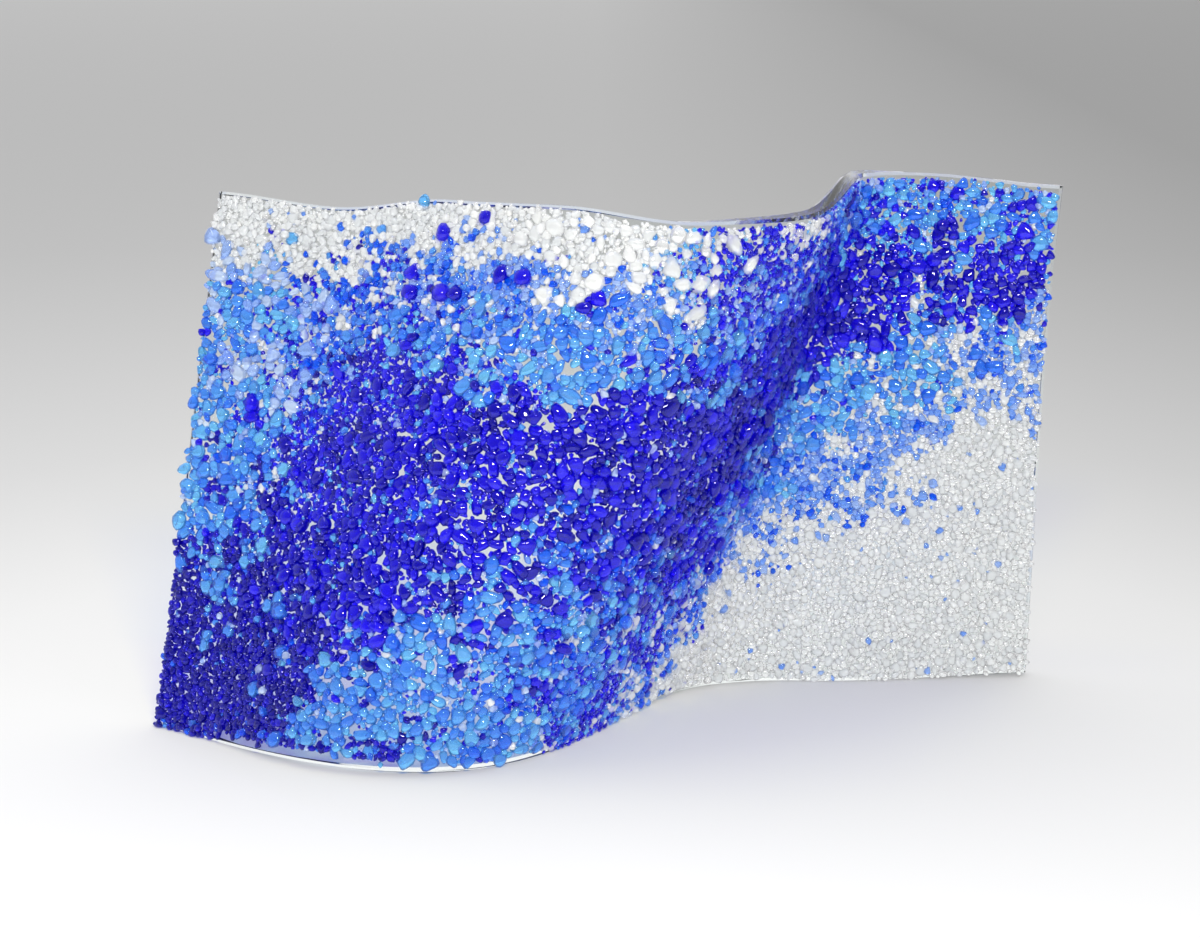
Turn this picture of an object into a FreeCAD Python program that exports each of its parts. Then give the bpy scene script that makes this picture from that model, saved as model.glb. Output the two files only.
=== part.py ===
import FreeCAD, Part
import math
import os
import random
from FreeCAD import Vector

# Free-standing wave of fused glass. One flat rectangular blank of clear glass was
# slumped into a leaning S-wave, so it stands by itself on its ground foot. Grains of
# coloured frit are fused on its front face and sorted here by glass and by grade.
# X runs along the wave, -Y is the grainy front, +Z is up, millimetres. The origin is
# on the table, below the middle of the whole piece.

doc = FreeCAD.newDocument("glass_wave")

driving_sizes = (
    ("sheet_length", 300.0, "flat length of the blank along its foot"),
    ("sheet_height", 150.0, "flat height of the blank"),
    ("glass_thickness", 4.0, "thickness of the clear glass"),
    ("arris", 0.8, "how far the polished edges are taken back"),
    ("crown_shift", 18.0, "how far the top left corner lies to the right of the foot"),
    ("crown_set_back", 33.0, "how far the top left corner lies behind the foot"),
    ("foot_lift", 2.3, "highest rise of the slumped foot off the table"),
    ("foot_grind", 0.7, "depth ground off the low stretches of the foot"),
    ("crown_dip", 6.5, "deepest dip of the slumped top edge"),
    ("edge_margin", 1.6, "bare glass left at the top and at the right"),
    ("foot_margin", 1.0, "bare glass left above the foot"),
    ("coarse_grain", 3.8, "usual width of a coarse grain"),
    ("medium_grain", 2.5, "usual width of a medium grain"),
    ("fine_grain", 1.7, "usual width of a fine grain"),
    ("grain_gap", 0.1, "least gap between the feet of two grains"),
    ("fuse_depth", 0.25, "depth to which a grain has melted into the sheet"),
    ("tool_overrun", 5.0, "how far the grinding block reaches past the sheet"),
)

sizes = doc.addObject("Spreadsheet::Sheet", "sizes")
for row, (alias, value, meaning) in enumerate(driving_sizes, start=1):
    sizes.set("A%d" % row, meaning)
    sizes.set("B%d" % row, str(value))
    sizes.setAlias("B%d" % row, alias)
doc.recompute()


def size(alias):
    return float(sizes.get(alias))


length = size("sheet_length")
height = size("sheet_height")

# The wave, as its heading in degrees along the blank: where it starts, and the bends
# that it takes, each given at the foot and at the crown. A bend lies further along at
# the crown, because the blank was slumped at a slant. A middle and a span are shares
# of the blank's length.
start_headings = (-28.0, -24.0)
bends = (
    {"middle_shares": (0.030, 0.165), "span_shares": (0.115, 0.115), "turns": (-15.0, -11.0)},
    {"middle_shares": (0.300, 0.495), "span_shares": (0.430, 0.385), "turns": (100.0, 96.0)},
    {"middle_shares": (0.695, 0.825), "span_shares": (0.230, 0.115), "turns": (-120.0, -112.0)},
    {"middle_shares": (0.720, 0.770), "span_shares": (0.270, 0.375), "turns": (69.0, 36.0)},
)

# Rise of the foot and dip of the top edge, at even steps along the blank. Where the
# foot has no rise it is low, and there the grinding makes it flat.
foot_lift_shares = (0.0, 1.0, 0.0, 0.52, 0.0, 0.52)
crown_dip_shares = (0.62, 1.0, 0.31, 0.15, 0.77, 0.92, 0.08, 0.15, 0.54)


def between(first, last, share):
    return first + (last - first) * share


def ease(share):
    share = min(max(share, 0.0), 1.0)
    return share * share * (3 - 2 * share)


def eased_steps(values, along):
    place = min(max(along, 0.0), 1.0) * (len(values) - 1)
    step = min(int(place), len(values) - 2)
    return between(values[step], values[step + 1], ease(place - step))


def heading(along, climb):
    angle = between(*start_headings, climb)
    for bend in bends:
        middle = between(*bend["middle_shares"], climb)
        span = between(*bend["span_shares"], climb)
        angle += between(*bend["turns"], climb) * ease((along - middle) / span + 0.5)
    return math.radians(angle)


def wave_row(climb, columns):
    """Points of the front face at one share of its height, evenly spaced along the blank."""
    x = size("crown_shift") * climb
    y = size("crown_set_back") * climb
    stride = length / columns
    points = []
    for column in range(columns + 1):
        along = column / columns
        foot = size("foot_lift") * eased_steps(foot_lift_shares, along) - size("foot_grind")
        crown = height - size("crown_dip") * eased_steps(crown_dip_shares, along)
        points.append(Vector(x, y, between(foot, crown, climb)))
        way = heading(along + 0.5 / columns, climb)
        x += stride * math.cos(way)
        y += stride * math.sin(way)
    return points


class Wave:
    """The sheet's front face as a fine grid, with its outward direction anywhere on it."""

    def __init__(self, columns, rows):
        self.columns = columns
        self.rows = rows
        self.grid = [wave_row(row / rows, columns) for row in range(rows + 1)]

    def point(self, along, climb):
        column = min(int(along * self.columns), self.columns - 1)
        row = min(int(climb * self.rows), self.rows - 1)
        across = along * self.columns - column
        up = climb * self.rows - row
        low = between(self.grid[row][column], self.grid[row][column + 1], across)
        high = between(self.grid[row + 1][column], self.grid[row + 1][column + 1], across)
        return between(low, high, up)

    def outward(self, along, climb):
        reach = 1.0 / self.columns
        left = self.point(max(along - reach, 0.0), climb)
        right = self.point(min(along + reach, 1.0), climb)
        low = self.point(along, max(climb - reach, 0.0))
        high = self.point(along, min(climb + reach, 1.0))
        return (right - left).cross(high - low).normalize()

    def inside(self, along, climb, depth):
        return self.point(along, climb) - self.outward(along, climb) * depth


wave = Wave(columns=240, rows=60)


def shares(steps, inset):
    """Even steps from one edge of the blank to the other, with the two ends drawn in."""
    middle = [step / steps for step in range(1, steps)]
    return [inset] + middle + [1 - inset]


def glass_layer(inset, depth, columns, rows):
    """The wave at a depth in the glass, short of the blank's edges by the inset."""
    surface = Part.BSplineSurface()
    surface.interpolate([[wave.inside(along, climb, depth)
                          for along in shares(columns, inset / length)]
                         for climb in shares(rows, inset / height)])
    return surface


def rim(layer):
    """The four edges of a layer: foot, crown, left and right."""
    foot, crown, left, right = layer.bounds()
    curves = (layer.uIso(foot), layer.uIso(crown), layer.vIso(left), layer.vIso(right))
    return [curve.toShape() for curve in curves]


def slumped_glass(columns, rows):
    """The slumped blank: two faces, and an edge all round with its arrises taken off."""
    arris = size("arris")
    thickness = size("glass_thickness")
    places = ((arris, 0.0), (0.0, arris), (0.0, thickness - arris), (arris, thickness))
    layers = [glass_layer(inset, depth, columns, rows) for inset, depth in places]
    faces = [layers[0].toShape(), layers[-1].toShape()]
    for layer, next_layer in zip(layers, layers[1:]):
        for edge, next_edge in zip(rim(layer), rim(next_layer)):
            faces.append(Part.makeRuledSurface(edge, next_edge))
    shell = Part.makeShell(faces)
    shell.sewShape()
    solid = Part.Solid(shell)
    if solid.Volume < 0:
        solid.reverse()
    return solid


slumped_sheet = doc.addObject("Part::Feature", "slumped_sheet")
slumped_sheet.Shape = slumped_glass(columns=60, rows=12)

# Foot: what dips below the table is ground away, which leaves three flats to stand on
grinding_block = doc.addObject("Part::Box", "grinding_block")
grinding_block.setExpression("Length", "sizes.sheet_length + 2 * sizes.tool_overrun")
grinding_block.setExpression("Width", "2 * sizes.sheet_length")
grinding_block.setExpression("Height", "sizes.foot_grind + sizes.tool_overrun")
grinding_block.setExpression("Placement.Base.x", "-sizes.tool_overrun")
grinding_block.setExpression("Placement.Base.y", "-sizes.sheet_length")
grinding_block.setExpression("Placement.Base.z", "-sizes.foot_grind - sizes.tool_overrun")
clear_sheet = doc.addObject("Part::Cut", "clear_sheet")
clear_sheet.Base = slumped_sheet
clear_sheet.Tool = grinding_block

# Patches of frit as they were sprinkled: the glass, its grade, then the middle along the
# blank and up it, the half length along it and the half height, all as shares of the
# blank, and the slant in degrees. Where patches meet, their grains mix.
patch_shares = (
    ("white", "medium", 0.090, 0.950, 0.180, 0.110, 13),
    ("white", "medium", 0.300, 0.960, 0.100, 0.070, -3),
    ("white", "coarse", 0.440, 0.940, 0.090, 0.060, -3),
    ("white", "medium", 0.550, 0.960, 0.070, 0.060, 0),
    ("white", "medium", 0.840, 0.140, 0.230, 0.200, 8),
    ("white", "medium", 0.970, 0.390, 0.100, 0.240, 28),
    ("white", "medium", 0.690, 0.060, 0.090, 0.080, 0),
    ("pale_blue", "medium", 0.840, 0.470, 0.120, 0.080, 25),
    ("pale_blue", "medium", 0.720, 0.340, 0.060, 0.080, 20),
    ("pale_blue", "medium", 0.400, 0.850, 0.140, 0.070, 0),
    ("pale_blue", "medium", 0.560, 0.870, 0.060, 0.060, 0),
    ("pale_blue", "coarse", 0.040, 0.760, 0.060, 0.110, 0),
    ("pale_blue", "medium", 0.970, 0.660, 0.050, 0.080, 25),
    ("sky_blue", "coarse", 0.035, 0.600, 0.055, 0.200, 0),
    ("sky_blue", "medium", 0.140, 0.780, 0.040, 0.090, 0),
    ("sky_blue", "coarse", 0.360, 0.190, 0.130, 0.140, 5),
    ("sky_blue", "medium", 0.450, 0.340, 0.060, 0.080, 10),
    ("sky_blue", "coarse", 0.880, 0.920, 0.090, 0.090, 0),
    ("sky_blue", "coarse", 0.820, 0.590, 0.130, 0.060, 25),
    ("sky_blue", "coarse", 0.400, 0.750, 0.120, 0.060, 0),
    ("sky_blue", "medium", 0.300, 0.840, 0.050, 0.050, 0),
    ("sky_blue", "fine", 0.700, 0.930, 0.080, 0.060, 0),
    ("cobalt", "medium", 0.080, 0.170, 0.130, 0.230, 0),
    ("cobalt", "fine", 0.190, 0.660, 0.100, 0.180, -10),
    ("cobalt", "coarse", 0.370, 0.520, 0.160, 0.170, 0),
    ("cobalt", "coarse", 0.250, 0.350, 0.100, 0.100, 0),
    ("cobalt", "medium", 0.590, 0.520, 0.110, 0.140, 20),
    ("cobalt", "coarse", 0.730, 0.690, 0.110, 0.110, 35),
    ("cobalt", "coarse", 0.900, 0.800, 0.110, 0.080, 10),
    ("cobalt", "coarse", 0.970, 0.900, 0.050, 0.110, 0),
    ("cobalt", "fine", 0.520, 0.150, 0.080, 0.170, 0),
    ("cobalt", "fine", 0.580, 0.310, 0.070, 0.130, 15),
    ("cobalt", "fine", 0.670, 0.860, 0.100, 0.120, 20),
)

# Coarse grains fall first. A patch also gets a few grains of each finer grade in its gaps.
falls = {"coarse": 9000, "medium": 10000, "fine": 12000}
grades = tuple(falls)
gap_filling_share = 0.10
width_spread_share = 0.28
height_shares = (0.36, 0.48)


def patch_weight(patch, along, climb):
    glass, grade, middle, up, half_length, half_height, slant = patch
    across = (along - middle) * length
    rise = (climb - up) * height
    turn = math.radians(slant)
    run = (across * math.cos(turn) + rise * math.sin(turn)) / (half_length * length)
    lean = (rise * math.cos(turn) - across * math.sin(turn)) / (half_height * height)
    return math.exp(-run * run - lean * lean)


class Sprinkling:
    """Where grains lie on the flat blank, each clear of those that fell before it."""

    def __init__(self):
        self.cell = size("coarse_grain") * (1 + width_spread_share) + size("grain_gap")
        self.fallen = {}

    def key(self, run, rise):
        return int(run / self.cell), int(rise / self.cell)

    def settles(self, run, rise, radius):
        inside_length = radius < run < length - size("edge_margin") - radius
        top = height - size("edge_margin") - radius
        if not inside_length or not size("foot_margin") + radius < rise < top:
            return False
        column, row = self.key(run, rise)
        for near in ((column + a, row + b) for a in (-1, 0, 1) for b in (-1, 0, 1)):
            for other_run, other_rise, other_radius in self.fallen.get(near, ()):
                apart = math.hypot(run - other_run, rise - other_rise)
                if apart < radius + other_radius + size("grain_gap"):
                    return False
        self.fallen.setdefault((column, row), []).append((run, rise, radius))
        return True


def frit_grain(along, climb, radius, grain_height):
    """A grain rounded by the fire: the cap of a ball, its flat base sunk in the sheet."""
    outward = wave.outward(along, climb)
    base = wave.point(along, climb) - outward * size("fuse_depth")
    ball = (radius * radius + grain_height * grain_height) / (2 * grain_height)
    below = ball - grain_height
    low_angle = math.degrees(math.asin(below / ball))
    return Part.makeSphere(ball, base - outward * below, outward, low_angle, 90, 360)


def sprinkled_grains():
    draw = random.Random(7)
    sprinkling = Sprinkling()
    grains = {}
    for grade in grades:
        for fall in range(falls[grade]):
            along = draw.random()
            climb = draw.random()
            weights = [patch_weight(patch, along, climb) for patch in patch_shares]
            glass, patch_grade = draw.choices(patch_shares, weights)[0][:2]
            radius = size(grade + "_grain") / 2 * (1 + draw.uniform(-1, 1) * width_spread_share)
            grain_height = 2 * radius * draw.uniform(*height_shares)
            fills_gap = draw.random() < gap_filling_share
            finer = grades.index(patch_grade) < grades.index(grade)
            if patch_grade != grade and not (finer and fills_gap):
                continue
            if sprinkling.settles(along * length, climb * height, radius):
                grain = frit_grain(along, climb, radius, grain_height)
                grains.setdefault("%s_%s_frit" % (glass, grade), []).append(grain)
    return grains


frit = []
for name, grains in sorted(sprinkled_grains().items()):
    node = doc.addObject("Part::Feature", name)
    node.Shape = Part.makeCompound(grains)
    frit.append(node)
    print(name, len(grains), "grains")
doc.recompute()

# The whole piece moves so that the middle of its plan is at the origin
pieces = [clear_sheet] + frit
whole = clear_sheet.Shape.optimalBoundingBox(False, False)
for piece in frit:
    whole.add(piece.Shape.BoundBox)
to_origin = Vector(-whole.Center.x, -whole.Center.y, 0)
for piece in pieces:
    piece.Placement = FreeCAD.Placement(to_origin, FreeCAD.Rotation())
doc.recompute()

for item in doc.Objects:
    if "Invalid" in item.State or "Error" in item.State:
        raise RuntimeError("%s failed: %s" % (item.Label, item.State))
for piece in pieces:
    if piece.Shape.isNull() or not piece.Shape.isValid():
        raise RuntimeError("%s has no valid shape" % piece.Label)

for face in clear_sheet.Shape.Faces:
    if face.Surface.TypeId == "Part::GeomPlane":
        print("ground flat", round(face.Area, 1), [round(c, 2) for c in face.CenterOfMass])
print("whole", whole, "moved by", to_origin)

os.makedirs("parts", exist_ok=True)
for piece in pieces:
    piece.Shape.exportStep("parts/%s.step" % piece.Label)
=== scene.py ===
import math
import random

import bmesh
import bpy
import numpy as np
from mathutils import Matrix, Vector, noise
from mathutils.bvhtree import BVHTree
from mathutils.kdtree import KDTree


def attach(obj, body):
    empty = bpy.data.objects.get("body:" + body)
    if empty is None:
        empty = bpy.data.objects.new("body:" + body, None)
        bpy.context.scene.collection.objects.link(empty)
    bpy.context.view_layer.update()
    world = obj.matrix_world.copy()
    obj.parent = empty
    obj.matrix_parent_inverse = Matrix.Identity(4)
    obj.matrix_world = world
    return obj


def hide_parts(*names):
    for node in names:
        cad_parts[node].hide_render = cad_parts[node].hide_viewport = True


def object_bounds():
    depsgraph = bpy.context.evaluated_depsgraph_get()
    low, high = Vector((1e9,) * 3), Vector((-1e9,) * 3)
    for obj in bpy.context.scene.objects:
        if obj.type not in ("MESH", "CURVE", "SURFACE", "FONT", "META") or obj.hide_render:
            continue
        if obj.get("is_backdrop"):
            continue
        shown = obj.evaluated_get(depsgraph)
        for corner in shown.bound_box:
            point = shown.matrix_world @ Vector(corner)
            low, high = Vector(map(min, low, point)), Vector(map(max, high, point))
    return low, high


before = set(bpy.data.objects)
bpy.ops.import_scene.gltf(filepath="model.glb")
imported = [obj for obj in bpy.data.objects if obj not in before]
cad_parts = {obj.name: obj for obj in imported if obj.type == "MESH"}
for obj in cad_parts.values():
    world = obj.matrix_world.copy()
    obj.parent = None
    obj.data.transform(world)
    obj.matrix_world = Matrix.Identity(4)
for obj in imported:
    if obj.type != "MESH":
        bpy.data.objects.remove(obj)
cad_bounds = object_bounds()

# Free-standing wave of clear slumped glass with blue and white frit fused on its front.
# The sheet is the frame's own. Each grain of the frame becomes a pebble in the same place
# and of about the same size, and more grains are sprinkled between them.

MM = 0.001


# Camera, at the photograph's viewing angle

def put_camera():
    camera = bpy.data.objects.new("camera", bpy.data.cameras.new("camera"))
    bpy.context.scene.collection.objects.link(camera)
    camera.location = Vector((-5.4, -693.0, 233.0)) * MM
    pitch_down = 0.2279
    yaw_right = 0.0026
    camera.rotation_euler = (math.pi / 2 - pitch_down, 0, -yaw_right)
    camera.data.lens = 77.25
    camera.data.clip_start = 0.01
    bpy.context.scene.camera = camera


put_camera()


# Materials

def linear(hex_colour):
    """An sRGB hex colour as the linear colour that a shader takes."""
    parts = [int(hex_colour[i:i + 2], 16) / 255 for i in (1, 3, 5)]
    return [p / 12.92 if p <= 0.04045 else ((p + 0.055) / 1.055) ** 2.4 for p in parts] + [1.0]


def add(tree, kind, inputs=(), **settings):
    """Adds a node. An input is a value, or the output socket that feeds it."""
    made = tree.nodes.new(kind)
    for name, value in settings.items():
        setattr(made, name, value)
    for name, value in dict(inputs).items():
        if isinstance(value, bpy.types.NodeSocket):
            tree.links.new(value, made.inputs[name])
        else:
            made.inputs[name].default_value = value
    return made


def new_material(name):
    material = bpy.data.materials.new(name)
    material.use_nodes = True
    material.node_tree.nodes.clear()
    return material, material.node_tree


def let_lamps_through(tree, surface, tint):
    """Glass lets the lamps through, tinted, so that its shadow is a pale coloured one."""
    path = add(tree, "ShaderNodeLightPath")
    clear = add(tree, "ShaderNodeBsdfTransparent", {"Color": tint})
    mixed = add(tree, "ShaderNodeMixShader",
                {0: path.outputs["Is Shadow Ray"], 1: surface, 2: clear.outputs[0]})
    add(tree, "ShaderNodeOutputMaterial", {"Surface": mixed.outputs[0]})


def soda_lime_sheet():
    """Clear float glass, slumped in a kiln: smooth, fire-polished, with a faint unevenness
    from the mould, and hardly any tint in 4 mm."""
    material, tree = new_material("slumped_clear_glass")
    place = add(tree, "ShaderNodeTexCoord")
    ripple_width = 9 * MM
    ripple = add(tree, "ShaderNodeTexNoise",
                 {"Vector": place.outputs["Object"], "Scale": 1 / ripple_width, "Detail": 1.0})
    bump = add(tree, "ShaderNodeBump",
               {"Height": ripple.outputs[0], "Strength": 0.15, "Distance": 0.2 * MM})
    glass = add(tree, "ShaderNodeBsdfPrincipled",
                {"Base Color": linear("#F8FCFB"), "Roughness": 0.02, "IOR": 1.52,
                 "Transmission Weight": 1.0, "Normal": bump.outputs[0]})
    let_lamps_through(tree, glass.outputs[0], linear("#FAFDFD"))
    return material


def frit_glass(name, thin, deep, shadow_tint, clearness, roughness=0.04):
    """Tack-fused frit: crushed glass whose edges the kiln rounded and left glossy. A grain
    is paler or deeper with its thickness, and holds faint cords of denser glass."""
    material, tree = new_material(name)
    place = add(tree, "ShaderNodeTexCoord")
    tone = add(tree, "ShaderNodeAttribute", attribute_name="tone")
    cord_width = 1.2 * MM
    cords = add(tree, "ShaderNodeTexNoise",
                {"Vector": place.outputs["Object"], "Scale": 1 / cord_width, "Detail": 2.0})
    cord_share = 0.3
    depth = add(tree, "ShaderNodeMath",
                {0: cords.outputs[0], 1: cord_share, 2: tone.outputs["Fac"]}, operation="MULTIPLY_ADD")
    centred = add(tree, "ShaderNodeMath", {0: depth.outputs[0], 1: cord_share / 2},
                  operation="SUBTRACT", use_clamp=True)
    colour = add(tree, "ShaderNodeMix",
                 {0: centred.outputs[0], 6: linear(thin), 7: linear(deep)}, data_type="RGBA")
    dimple_width = 0.9 * MM
    dimples = add(tree, "ShaderNodeTexNoise",
                  {"Vector": place.outputs["Object"], "Scale": 1 / dimple_width, "Detail": 1.0})
    bump = add(tree, "ShaderNodeBump",
               {"Height": dimples.outputs[0], "Strength": 0.2, "Distance": 0.1 * MM})
    glass = add(tree, "ShaderNodeBsdfPrincipled",
                {"Base Color": colour.outputs[2], "Roughness": roughness, "IOR": 1.52,
                 "Transmission Weight": clearness, "Normal": bump.outputs[0]})
    let_lamps_through(tree, glass.outputs[0], linear(shadow_tint))
    return material


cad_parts["clear_sheet"].data.materials.clear()
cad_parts["clear_sheet"].data.materials.append(soda_lime_sheet())

FRIT = {
    "white": frit_glass("white_frit_glass", "#FAFAF8", "#E8EAEC", "#F8F8F8", 0.55, 0.05),
    "clear": frit_glass("clear_frit_glass", "#FFFFFF", "#FAFAFA", "#FAFAFA", 0.75, 0.03),
    "pale_blue": frit_glass("pale_blue_frit_glass", "#D8E8FF", "#7CACFF", "#E4ECFC", 0.7),
    "sky_blue": frit_glass("sky_blue_frit_glass", "#80D4FF", "#0864FF", "#C0DCFC", 0.75),
    "cobalt": frit_glass("cobalt_frit_glass", "#2818FF", "#0600A8", "#B0B0F8", 0.72),
}


# Reading the frame

def corner_array(mesh):
    places = np.zeros(len(mesh.vertices) * 3, np.float32)
    mesh.vertices.foreach_get("co", places)
    return places.reshape(-1, 3).astype(float)


def triangle_array(mesh):
    mesh.calc_loop_triangles()
    corners = np.zeros(len(mesh.loop_triangles) * 3, np.int32)
    mesh.loop_triangles.foreach_get("vertices", corners)
    return corners.reshape(-1, 3)


def patch_starts(triangles):
    """First vertex of each face patch. A patch's vertices follow one another."""
    low = triangles.min(axis=1)
    high = triangles.max(axis=1)
    order = np.argsort(low, kind="stable")
    reach = np.maximum.accumulate(high[order])
    fresh = np.concatenate(([True], low[order][1:] > reach[:-1]))
    return low[order][fresh]


class FrontFace:
    """The sheet's grainy front: nearest place and outward direction, and random places."""

    def __init__(self, mesh):
        self.places = corner_array(mesh)
        triangles = triangle_array(mesh)
        starts = patch_starts(triangles)
        patch = np.searchsorted(starts, triangles[:, 0], side="right") - 1
        a, b, c = (self.places[triangles[:, k]] for k in range(3))
        sides = np.cross(b - a, c - a)
        forward = np.bincount(patch, weights=-sides[:, 1])
        chosen = patch == forward.argmax()
        self.triangles = triangles[chosen]
        self.areas = np.linalg.norm(sides[chosen], axis=1) / 2
        self.tree = BVHTree.FromPolygons(self.places.tolist(), self.triangles.tolist())
        self.rim = self.rim_points()

    def rim_points(self):
        pairs = np.concatenate([self.triangles[:, pair] for pair in ((0, 1), (1, 2), (0, 2))])
        edges, uses = np.unique(np.sort(pairs, axis=1), axis=0, return_counts=True)
        rim = edges[uses == 1]
        points = np.concatenate([self.places[rim[:, 0]], self.places[rim].mean(axis=1)])
        tree = KDTree(len(points))
        for number, point in enumerate(points):
            tree.insert(point, number)
        tree.balance()
        return tree

    def nearest(self, place):
        point, outward, *_ = self.tree.find_nearest(place)
        return point, outward

    def random_places(self, draw, count):
        chosen = draw.choice(len(self.areas), count, p=self.areas / self.areas.sum())
        a, b, c = (self.places[self.triangles[chosen, k]] for k in range(3))
        u, v = np.sqrt(draw.random((count, 1))), draw.random((count, 1))
        return a * (1 - u) + b * u * (1 - v) + c * u * v


front = FrontFace(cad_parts["clear_sheet"].data)


def grains_of(node):
    """Each dome of a frit node: the middle of its foot, its half width and its height."""
    places = corner_array(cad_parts[node].data)
    starts = patch_starts(triangle_array(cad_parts[node].data))
    counts = np.diff(np.append(starts, len(places)))
    middles = (np.minimum.reduceat(places, starts) + np.maximum.reduceat(places, starts)) / 2
    for start, count, middle in zip(starts, counts, middles):
        foot, outward = front.nearest(middle)
        spread = places[start:start + count] - np.array(foot)
        rise = spread @ np.array(outward)
        height = rise.max() - rise.min()
        across = spread - np.outer(rise, outward)
        off_middle = (across.min(axis=0) + across.max(axis=0)) / 2
        radius = np.linalg.norm(across - off_middle, axis=1).max()
        if height > radius / 2:
            yield foot + Vector(off_middle), radius, height


# Pebbles: crushed glass rounded by the fire, from a ball with flats knocked on it

def pebble_shape(seed):
    """A unit pebble: wide along X, low along Z, with knocked flats and a flattened top."""
    draw = random.Random(seed)
    bm = bmesh.new()
    bmesh.ops.create_icosphere(bm, subdivisions=2, radius=1.0)
    flats = draw.randint(3, 6)
    for flat in range(flats):
        angle = math.tau * (flat + draw.uniform(-0.4, 0.4)) / flats
        facing = Vector((math.cos(angle), math.sin(angle), draw.uniform(-0.2, 0.4))).normalized()
        reach = draw.uniform(0.5, 0.85)
        for vert in bm.verts:
            vert.co -= facing * max(vert.co.dot(facing) - reach, 0.0)
    top = draw.uniform(0.5, 0.7)
    slope = Vector((draw.uniform(-0.3, 0.3), draw.uniform(-0.3, 0.3), 1.0)).normalized()
    top_flatness = 0.85
    for vert in bm.verts:
        vert.co -= slope * max(vert.co.dot(slope) - top, 0.0) * top_flatness
    bmesh.ops.smooth_vert(bm, verts=bm.verts, factor=0.3, use_axis_x=True, use_axis_y=True,
                          use_axis_z=True)
    lopsided = draw.uniform(0.0, 0.4)
    slim = draw.uniform(0.52, 0.95)
    for vert in bm.verts:
        vert.co.y *= slim * (1 + lopsided * vert.co.x)
    near_waist = 0.2
    waist = [math.hypot(vert.co.x, vert.co.y) for vert in bm.verts if abs(vert.co.z) < near_waist]
    reach = sum(waist) / len(waist)
    height = max(vert.co.z for vert in bm.verts)
    bmesh.ops.scale(bm, verts=bm.verts, vec=(1 / reach, 1 / reach, 1 / height))
    mesh = bpy.data.meshes.new("pebble_shape")
    bm.to_mesh(mesh)
    bm.free()
    shape = corner_array(mesh), triangle_array(mesh)
    bpy.data.meshes.remove(mesh)
    return shape


SHAPES = [pebble_shape(seed) for seed in range(24)]

# Half width of a grain that counts as thick, how much deeper a piled grain's tone is, how
# far grains lean in radians, and how high their middle sits as a share of the half height
THICK = 2 * MM
DEEPER_WHEN_PILED = 0.55
LEAN = 0.12
SEAT = 0.78


class Pebble:
    """One grain: where it lies, how it is turned, its size, and its tone. The tone is deeper
    where a grain is thick, and in the medium beds, whose grains lie piled up."""

    def __init__(self, foot, outward, radius, height, draw, piled, lift=0.0):
        self.foot = Vector(foot)
        outward = Vector(outward)
        self.shape = draw.randrange(len(SHAPES))
        thickness = 0.1 + 0.3 * min(radius / THICK, 1.0)
        self.tone = thickness + draw.uniform(-0.4, 0.5) + DEEPER_WHEN_PILED * piled
        turn = Matrix.Rotation(draw.uniform(0, math.tau), 3, "Z")
        lean_back = Matrix.Rotation(draw.gauss(0, LEAN), 3, "X")
        lean_aside = Matrix.Rotation(draw.gauss(0, LEAN), 3, "Y")
        lean = lean_back @ lean_aside
        stand = outward.to_track_quat("Z", "X").to_matrix()
        half_height = height / 2
        scale = Matrix.Diagonal((radius, radius, half_height))
        self.matrix = np.array(stand @ lean @ turn @ scale)
        self.middle = np.array(self.foot + outward * (half_height * SEAT + lift))


def pebble_piece(name, glass, pebbles, replaced=()):
    """One mesh of many pebbles, each a copy of one of the shapes, with its own tone."""
    corners, triangles, tones = [], [], []
    total = 0
    for pebble in pebbles:
        shape_corners, shape_triangles = SHAPES[pebble.shape]
        places = shape_corners @ pebble.matrix.T + pebble.middle
        places[:, 2] += max(0.0, -places[:, 2].min())
        corners.append(places)
        triangles.append(shape_triangles + total)
        tones.append(np.full(len(shape_corners), pebble.tone, np.float32))
        total += len(shape_corners)
    corners, triangles = np.concatenate(corners), np.concatenate(triangles)
    mesh = bpy.data.meshes.new(name)
    mesh.from_pydata(corners, [], triangles, shade_flat=False)
    mesh.attributes.new("tone", "FLOAT", "POINT").data.foreach_set("value", np.concatenate(tones))
    mesh.materials.append(FRIT[glass])
    piece = bpy.data.objects.new(name, mesh)
    bpy.context.scene.collection.objects.link(piece)
    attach(piece, "root")
    if replaced:
        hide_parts(*replaced)
    return piece


# The frame's grains, and the smaller ones between them

draw = random.Random(11)
numbers = np.random.default_rng(11)
CELL = 5.0 * MM
lying = {}


def cell_of(place):
    return int(place[0] // CELL), int(place[2] // CELL)


def remember(place, radius):
    lying.setdefault(cell_of(place), []).append((place[0], place[1], place[2], radius))


def room_at(place, nearness):
    """Half width of the grain that fits there, as near its neighbours as nearness allows."""
    x, y, z = place
    column, level = cell_of(place)
    room = CELL
    for a in (-1, 0, 1):
        for b in (-1, 0, 1):
            for other_x, other_y, other_z, other in lying.get((column + a, level + b), ()):
                apart = math.sqrt((x - other_x) ** 2 + (y - other_y) ** 2 + (z - other_z) ** 2)
                room = min(room, apart / nearness - other)
    return room


# How much wider, by grade, and how much higher a pebble is than the frame's grain
WIDEN = {"coarse": 1.1, "medium": 1.1, "fine": 1.0}
HEIGHTEN = 1.15

beds = {}
known = []
for node in sorted(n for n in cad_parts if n.endswith("_frit")):
    glass, grade = node.removesuffix("_frit").rsplit("_", 1)
    for foot, radius, height in grains_of(node):
        outward = front.nearest(foot)[1]
        radius *= WIDEN[grade] * draw.uniform(0.92, 1.12)
        pebble = Pebble(foot, outward, radius, height * HEIGHTEN, draw, grade == "medium")
        beds.setdefault(node, []).append(pebble)
        known.append((foot, glass, grade))
        remember(foot, radius)

around = KDTree(len(known))
for number, (foot, glass, grade) in enumerate(known):
    around.insert(foot, number)
around.balance()

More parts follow.
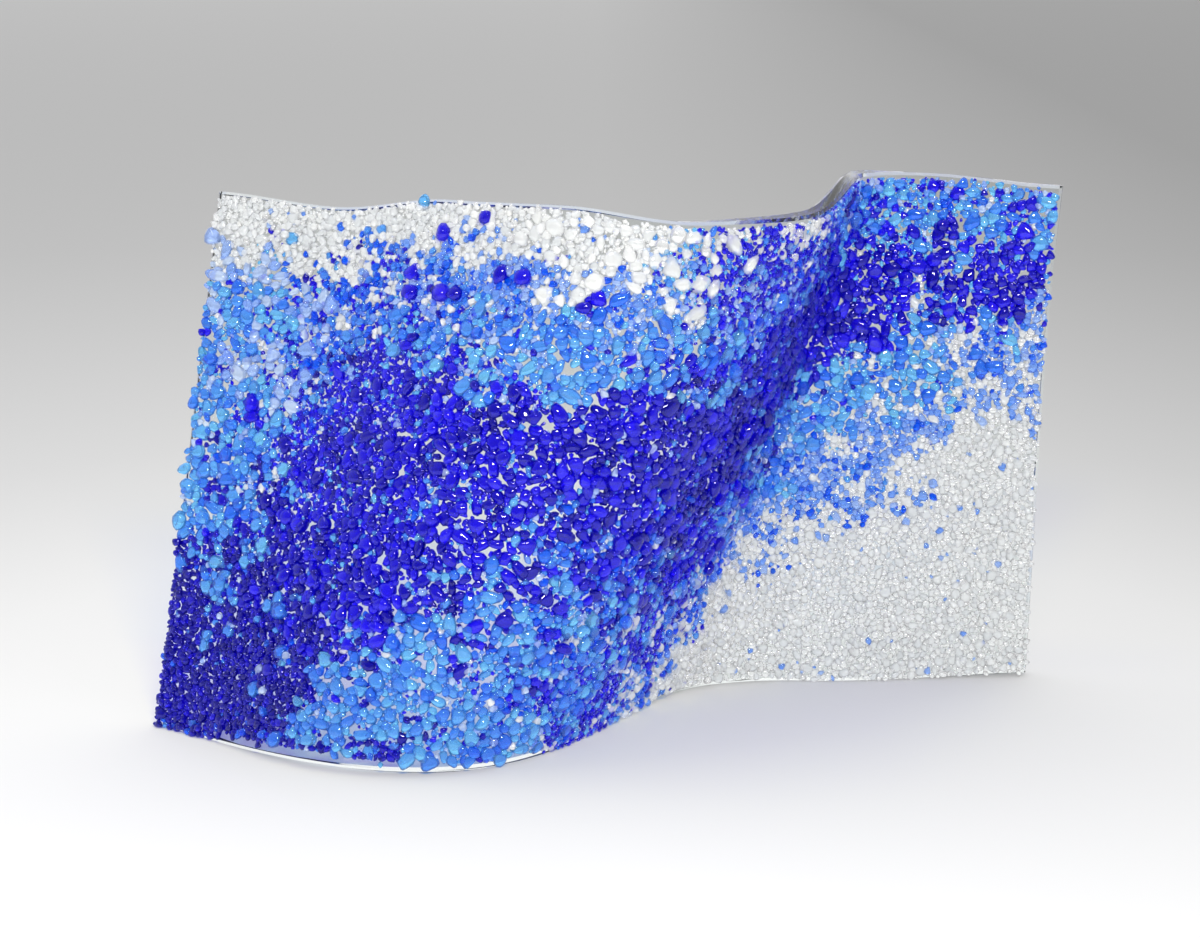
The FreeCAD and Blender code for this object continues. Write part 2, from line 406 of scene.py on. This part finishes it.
# What falls between the frame's grains: how many grains of a grade fall on the sheet and
# their half width in millimetres. Then, by the grade that lies where one falls, how near
# its neighbours it may lie, as a share of the two half widths, and the share that stays
FALLS = (
    ("coarse", 16000, (1.3, 2.5), {"coarse": (0.72, 1.0)}),
    ("medium", 50000, (0.85, 1.3), {"coarse": (0.66, 1.0), "medium": (0.66, 1.0), "fine": (0.95, 0.5)}),
    ("fine", 120000, (0.45, 0.8), {"coarse": (0.72, 0.5), "medium": (0.66, 1.0), "fine": (0.6, 1.0)}),
)


# What the medium and fine grains of a bed are made of: shares of each glass
MIXED = {
    ("cobalt", "coarse"): {"cobalt": 0.68, "sky_blue": 0.27, "pale_blue": 0.05},
    ("cobalt", "medium"): {"cobalt": 0.95, "sky_blue": 0.05},
    ("cobalt", "fine"): {"cobalt": 0.78, "sky_blue": 0.18, "pale_blue": 0.04},
    "sky_blue": {"sky_blue": 0.66, "pale_blue": 0.2, "cobalt": 0.1, "white": 0.04},
    "pale_blue": {"pale_blue": 0.6, "sky_blue": 0.28, "white": 0.12},
    "white": {"white": 0.98, "pale_blue": 0.02},
}


# Thin drifts of fine grains over the beds: glass, then middle x and z and reach in millimetres
DRIFTS = (("cobalt", 37, 131, 18), ("sky_blue", 20, 132, 12))

# How many of the frame's grains are asked, how strongly the nearer ones are preferred, and
# the share of paler blues where cobalt meets white
NEIGHBOURS = 6
NEARER_FIRST = 1.5
PALER_EDGE = 0.75


def glass_near(place):
    """Which glass and grade lies near: the commonest in three picks of the frame's grains.
    Where cobalt meets white, the paler blues lie between them."""
    for glass, x, z, reach in DRIFTS:
        away = math.hypot(place[0] - x * MM, place[2] - z * MM)
        if away < reach * MM * draw.uniform(0.5, 1.2):
            return glass, "fine"
    near = [known[number][1:] for _, number, _ in around.find_n(place, NEIGHBOURS)]
    picks = [near[min(int(draw.random() ** NEARER_FIRST * NEIGHBOURS), NEIGHBOURS - 1)]
             for _ in range(3)]
    glass, grade = max(picks, key=picks.count)
    glasses = [other for other, _ in near]
    mixed_edge = glasses.count("cobalt") > 1 and glasses.count("white") > 1
    if mixed_edge and draw.random() < PALER_EDGE:
        glass = draw.choice(("sky_blue", "pale_blue"))
    return glass, grade


# Single coarse grains that lie on a bed of another glass: x, z and half width in millimetres
SINGLES = {
    "cobalt": ((-36, 134, 2.3), (-20, 136, 1.9), (-44, 118, 2.4), (-31, 116, 2.5), (-26, 115, 2.2),
               (-12, 119, 2.3), (-7, 119, 2.4), (64, 77, 2.6)),
    "sky_blue": ((-47, 147, 1.6), (-63, 139, 1.5), (26, 128, 2.2)),
    "pale_blue": ((104, 78, 1.7), (37, 32, 1.8), (50, 44, 1.5), (92, 60, 1.5)),
}
for glass, grains in SINGLES.items():
    for x, z, half_width in grains:
        place, outward = front.nearest((x * MM, 0, z * MM))
        radius = half_width * MM
        height = 1.4 * radius
        lift = 0.3 * radius
        pebble = Pebble(place, outward, radius, height, draw, False, lift)
        beds.setdefault(glass + "_coarse_filling", []).append(pebble)
        remember(place, radius)

# Bare gaps in the coarse beds: their width, and the noise level above which they open
GAP_WIDTH = 4 * MM
GAP_LEVEL = 0.16

# Clear frit is mixed into the white: its share to the right of this x, and to the left
CLEAR_FROM_X = 20 * MM
CLEAR_ON_THE_RIGHT = 0.7
CLEAR_ON_THE_LEFT = 0.1

# Stretches of the rim that have a bare margin of their own
LEFT_END_TO_X = -110 * MM
FRONT_FOOT_TO_X = -20 * MM
FOOT_TO_Z = 10 * MM


def in_a_gap(place, grade, bed_grade):
    """Whether a medium or fine grain would fall in one of a coarse bed's bare gaps."""
    if bed_grade != "coarse" or grade == "coarse":
        return False
    return noise.noise(Vector(place) / GAP_WIDTH) > GAP_LEVEL


def bare_width(rim_point, radius):
    """How far a grain's middle stays from the rim: hardly at all at the left end, and
    furthest where the front of the wave stands on its foot."""
    if rim_point.x < LEFT_END_TO_X:
        return 0.2 * MM
    if rim_point.x < FRONT_FOOT_TO_X and rim_point.z < FOOT_TO_Z:
        return 2 * MM + radius
    return 0.6 * MM + radius * 0.7


for grade, falls, (least, most), beds_near in FALLS:
    for place in front.random_places(numbers, falls).tolist():
        glass, bed_grade = glass_near(place)
        nearness, staying = beds_near.get(bed_grade, (1.0, 0.0))
        if draw.random() > staying or in_a_gap(place, grade, bed_grade):
            continue
        if grade != "coarse":
            shares = MIXED.get((glass, bed_grade)) or MIXED[glass]
            glass = draw.choices(list(shares), shares.values())[0]
        clear_share = CLEAR_ON_THE_RIGHT if place[0] > CLEAR_FROM_X else CLEAR_ON_THE_LEFT
        if glass == "white" and draw.random() < clear_share:
            glass = "clear"
        radius = min(room_at(place, nearness), draw.uniform(least, most) * MM)
        if radius < least * MM:
            continue
        rim_point, _, rim_gap = front.rim.find(place)
        if rim_gap < bare_width(rim_point, radius):
            continue
        outward = front.nearest(place)[1]
        height = 2 * radius * draw.uniform(0.5, 0.8)
        lift = (1 - nearness) * radius * draw.uniform(0.0, 2.5)
        pebble = Pebble(place, outward, radius, height, draw, bed_grade == "medium", lift)
        beds.setdefault("%s_%s_filling" % (glass, grade), []).append(pebble)
        remember(place, radius)

# Keeps a piece under 200,000 triangles
MOST_PEBBLES = 2400
for name, pebbles in sorted(beds.items()):
    glass = next(g for g in FRIT if name.startswith(g))
    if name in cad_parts:
        pebble_piece(name.replace("_frit", "_pebbles"), glass, pebbles, [name])
        continue
    pebbles.sort(key=lambda pebble: pebble.foot.x)
    parts = math.ceil(len(pebbles) / MOST_PEBBLES)
    for part in range(parts):
        pebble_piece("%s_%d" % (name, part + 1), glass, pebbles[part::parts])
    print(name, len(pebbles))
print("pebbles in all", sum(map(len, beds.values())))


# Stage: pale floor that greys with distance, lamps and sky

def pale_floor():
    bm = bmesh.new()
    bmesh.ops.create_circle(bm, cap_ends=True, segments=96, radius=12.0)
    mesh = bpy.data.meshes.new("floor")
    bm.to_mesh(mesh)
    bm.free()
    mesh.transform(Matrix.Translation((0, 0, -0.05 * MM)))
    floor = bpy.data.objects.new("floor", mesh)
    bpy.context.scene.collection.objects.link(floor)
    material, tree = new_material("pale_paper_floor")
    place = add(tree, "ShaderNodeTexCoord")
    away = add(tree, "ShaderNodeVectorMath", {0: place.outputs["Object"]}, operation="LENGTH")
    farthest = 5.3
    share = add(tree, "ShaderNodeMath", {0: away.outputs["Value"], 1: farthest}, operation="DIVIDE")
    spread = add(tree, "ShaderNodeMath", {0: share.outputs[0], 1: 0.5}, operation="POWER")
    ramp = add(tree, "ShaderNodeValToRGB", {0: spread.outputs[0]})
    stops = ((0.2, "#E9E9E9"), (0.27, "#E0E0E0"), (0.43, "#DCDCDC"), (0.9, "#ECECEC"))
    elements = ramp.color_ramp.elements
    while len(elements) < len(stops):
        elements.new(1.0)
    for element, (position, hex_colour) in zip(elements, stops):
        element.position = position
        element.color = linear(hex_colour)
    # Painted shade: the floor's colour darkens towards +x, to 0.72 of it at x = 0.5 m, as if less light
    # fell on the right
    sideways = add(tree, "ShaderNodeSeparateXYZ", {0: place.outputs["Object"]})
    shade = add(tree, "ShaderNodeMapRange", {"Value": sideways.outputs[0], "From Min": 0.0,
                                             "From Max": 0.5, "To Min": 1.0, "To Max": 0.72})
    shaded = add(tree, "ShaderNodeVectorMath", {0: ramp.outputs[0], "Scale": shade.outputs[0]},
                 operation="SCALE")
    paper = add(tree, "ShaderNodeBsdfDiffuse", {"Color": shaded.outputs[0]})
    add(tree, "ShaderNodeOutputMaterial", {"Surface": paper.outputs[0]})
    mesh.materials.append(material)
    floor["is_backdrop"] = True


def softbox(name, place, target, width, depth, watts):
    lamp = bpy.data.lights.new(name, "AREA")
    lamp.shape = "RECTANGLE"
    lamp.size = width
    lamp.size_y = depth
    lamp.energy = watts
    box = bpy.data.objects.new(name, lamp)
    box.location = place
    box.rotation_euler = (Vector(place) - Vector(target)).to_track_quat("Z", "Y").to_euler()
    bpy.context.scene.collection.objects.link(box)


def sky():
    """Brighter behind the glass than on the viewer's side, as for a glass photograph."""
    world = bpy.data.worlds.new("studio")
    bpy.context.scene.world = world
    world.use_nodes = True
    tree = world.node_tree
    tree.nodes.clear()
    facing = add(tree, "ShaderNodeSeparateXYZ", {0: add(tree, "ShaderNodeTexCoord").outputs["Generated"]})
    strength = add(tree, "ShaderNodeMapRange", {"Value": facing.outputs[1], "From Min": -0.7,
                                                "From Max": 0.7, "To Min": 0.2, "To Max": 1.05})
    light = add(tree, "ShaderNodeBackground", {"Color": linear("#FFFFFF"), "Strength": strength.outputs[0]})
    add(tree, "ShaderNodeOutputWorld", {"Surface": light.outputs[0]})


pale_floor()
sky()
softbox("overhead_softbox", (-0.15, 0.0, 0.85), (0, 0, 0), 0.3, 0.08, 0.7)
softbox("front_softbox", (0.05, -0.95, 0.7), (0, 0, 0.07), 0.45, 0.12, 12.5)

scene = bpy.context.scene
scene.view_settings.view_transform = "Standard"
scene.cycles.transparent_max_bounces = 32
scene.cycles.max_bounces = 20
scene.cycles.transmission_bounces = 20
scene.cycles.caustics_reflective = False
scene.cycles.caustics_refractive = False

[[list(corner) for corner in box] for box in (cad_bounds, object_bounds())]
